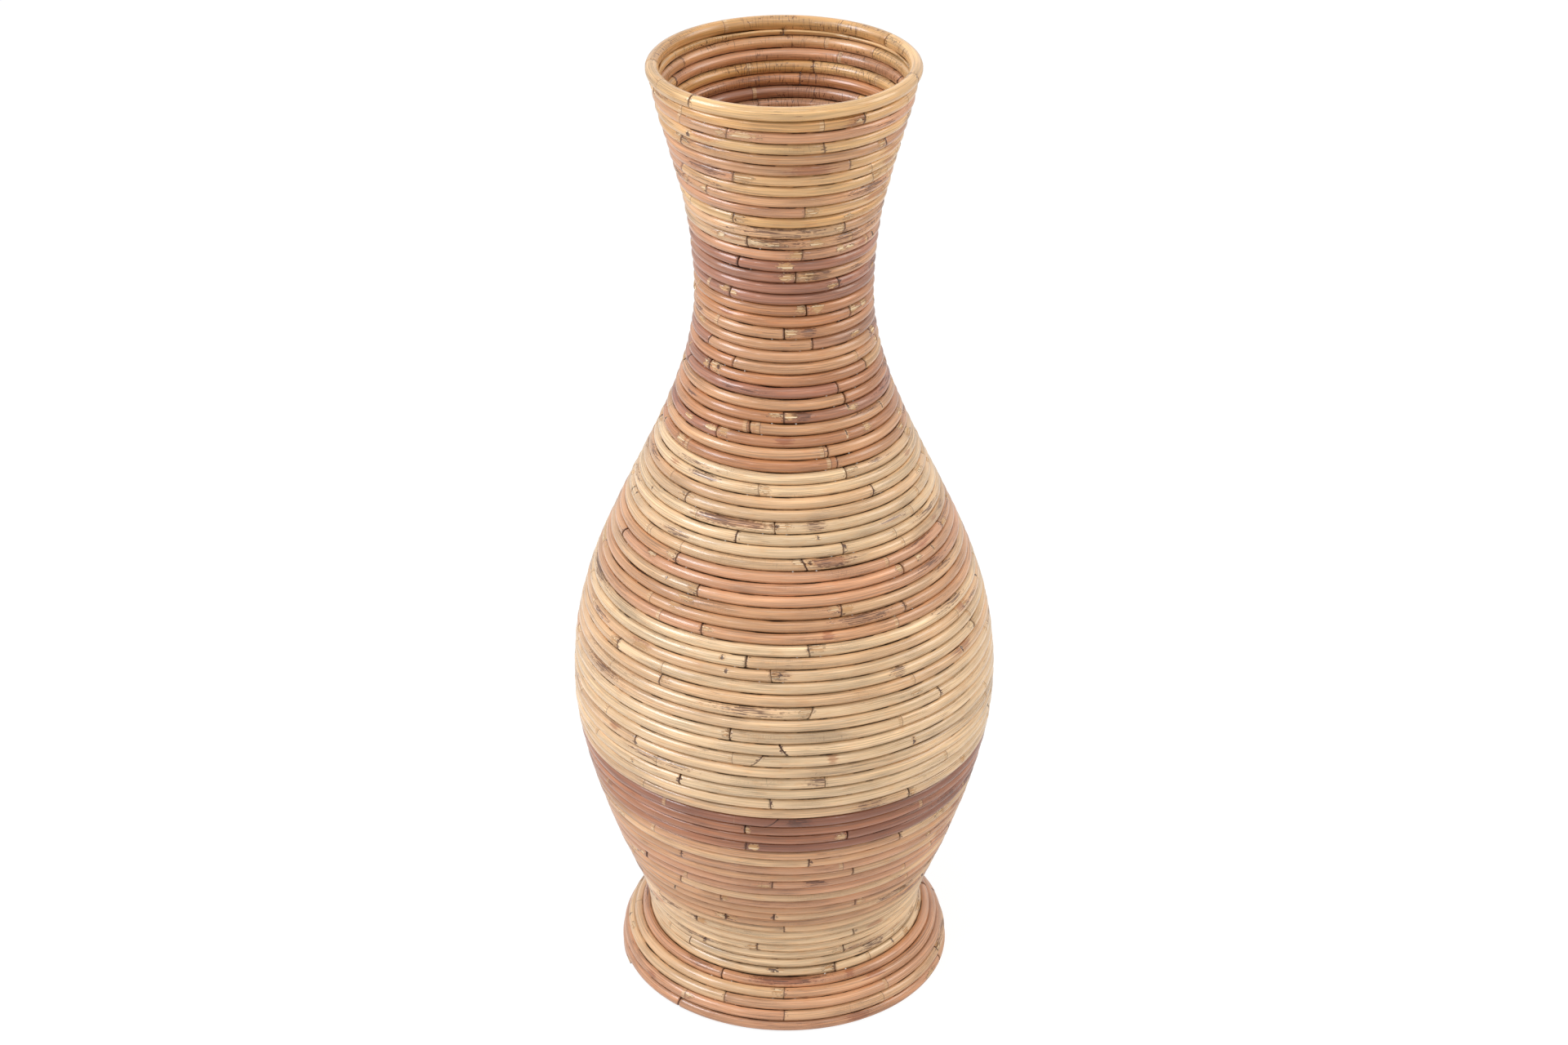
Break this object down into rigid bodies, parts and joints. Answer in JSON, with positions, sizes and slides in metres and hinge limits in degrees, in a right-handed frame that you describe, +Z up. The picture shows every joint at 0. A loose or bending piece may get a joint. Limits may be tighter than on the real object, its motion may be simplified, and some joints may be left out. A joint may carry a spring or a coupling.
{
  "type": "floor vase",
  "caption": "Tall floor vase with a flared mouth, narrow neck, round belly and spreading foot, wound from lacquered rattan cane.",
  "frame": {"origin": "centre of the foot, on the surface that the vase stands on", "axes": "+Z up along the axis of the vase, -Y towards the front, +X to the right as seen from the front"},
  "size_m": [0.3472, 0.3472, 0.8],
  "materials": {
    "cane": "clear satin lacquer over natural cane",
    "rim_cane": "clear satin lacquer over natural cane",
    "board": "plain plywood",
    "brad": "bare steel wire"
  },
  "bodies": {
    "root": {"foot_canes_1": "cane", "foot_canes_2": "cane", "foot_canes_3": "cane", "foot_canes_4": "cane", "waist_canes_1": "cane", "waist_canes_2": "cane", "waist_canes_3": "cane", "flank_canes_1": "cane", "flank_canes_2": "cane", "flank_canes_3": "cane", "flank_canes_4": "cane", "flank_canes_5": "cane", "flank_canes_6": "cane", "flank_canes_7": "cane", "flank_canes_8": "cane", "belly_canes_1": "cane", "belly_canes_2": "cane", "belly_canes_3": "cane", "belly_canes_4": "cane", "belly_canes_5": "cane", "belly_canes_6": "cane", "belly_canes_7": "cane", "belly_canes_8": "cane", "shoulder_canes_1": "cane", "shoulder_canes_2": "cane", "shoulder_canes_3": "cane", "shoulder_canes_4": "cane", "shoulder_canes_5": "cane", "shoulder_canes_6": "cane", "shoulder_canes_7": "cane", "shoulder_canes_8": "cane", "shoulder_canes_9": "cane", "shoulder_canes_10": "cane", "shoulder_canes_11": "cane", "neck_canes_1": "cane", "neck_canes_2": "cane", "neck_canes_3": "cane", "neck_canes_4": "cane", "neck_canes_5": "cane", "neck_canes_6": "cane", "neck_canes_7": "cane", "neck_canes_8": "cane", "neck_canes_9": "cane", "neck_canes_10": "cane", "collar_canes_1": "cane", "collar_canes_2": "cane", "collar_canes_3": "cane", "collar_canes_4": "cane", "collar_canes_5": "cane", "collar_canes_6": "cane", "collar_canes_7": "cane", "collar_canes_8": "cane", "collar_canes_9": "cane", "rim_canes": "rim_cane", "wall_brads": "brad", "rim_brads": "brad", "base_board": "board", "board_brads": "brad"}
  },
  "joints": []
}
